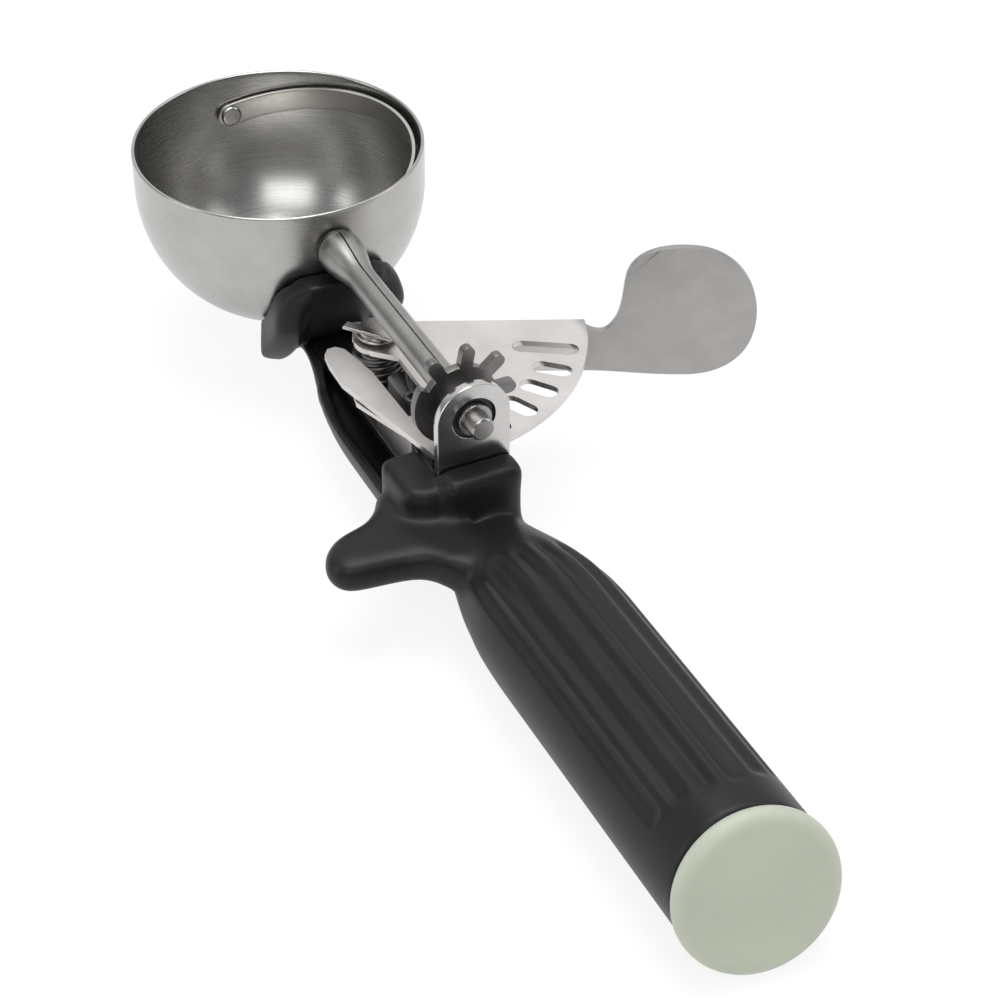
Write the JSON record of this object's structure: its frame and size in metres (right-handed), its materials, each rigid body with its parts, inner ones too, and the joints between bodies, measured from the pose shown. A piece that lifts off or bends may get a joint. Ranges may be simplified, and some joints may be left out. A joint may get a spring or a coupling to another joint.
{
  "type": "lever ice cream scoop",
  "caption": "Scoop with a ball-shaped bowl, a sweeping scraper blade driven by a sprung thumb lever through a pinion, and a fluted grip with a flat end cap.",
  "frame": {"origin": "centre of the bowl's ball, on the axis that the scraper turns about", "axes": "+Y out of the front of the bowl along the scraper's axis, +Z out of the bowl's mouth, +X to the side of the thumb lever"},
  "size_m": [0.1198, 0.2706, 0.0581],
  "materials": {
    "bowl_steel": "satin",
    "bearing_brass": "satin",
    "polished_steel": "polished",
    "blade_steel": "satin",
    "shaft_steel": "turned",
    "tube_steel": "satin",
    "dark_steel": "dull",
    "lever_steel": "satin",
    "spring_steel": "bright",
    "shank_steel": "satin",
    "bracket_steel": "bright",
    "bush_plastic": "matte",
    "handle_plastic": "semi-gloss",
    "cap_plastic": "satin"
  },
  "bodies": {
    "frame": {"bowl": "bowl_steel", "near_bush": "bearing_brass", "far_rivet": "polished_steel", "far_washer": "polished_steel", "pivot_pin": "shaft_steel", "pivot_washer": "polished_steel", "pivot_clip": "polished_steel", "pivot_spacer": "dark_steel", "return_spring": "spring_steel", "shank": "shank_steel", "rear_bracket": "bracket_steel", "bracket_bush": "bush_plastic", "bracket_rivets": "polished_steel", "stop_block": "dark_steel", "guide_plate": "lever_steel", "guide_rivets": "polished_steel", "handle": "handle_plastic", "end_cap": "cap_plastic"},
    "lever": {"thumb_lever": "lever_steel", "lever_bush": "bearing_brass"},
    "rotor": {"scraper": "blade_steel", "scraper_shaft": "shaft_steel", "shaft_tube": "tube_steel", "pinion": "dark_steel", "shaft_collar": "shaft_steel"}
  },
  "joints": [
    {"name": "lever_press", "type": "hinge", "parent": "frame", "child": "lever", "pos_m": [0, -0.057, -0.01182], "axis": [0, 0, -1], "range_deg": [0, 50], "stiffness_Nm_per_rad": 0.9, "springref_deg": -20.05, "deforming": ["return_spring"]},
    {"name": "scraper_sweep", "type": "hinge", "parent": "frame", "child": "rotor", "pos_m": [0, 0, 0], "axis": [0, 1, 0], "range_deg": [0, 182]}
  ],
  "couplings": [
    {"joint": "scraper_sweep", "follows": "lever_press", "ratio": 3.6364}
  ]
}
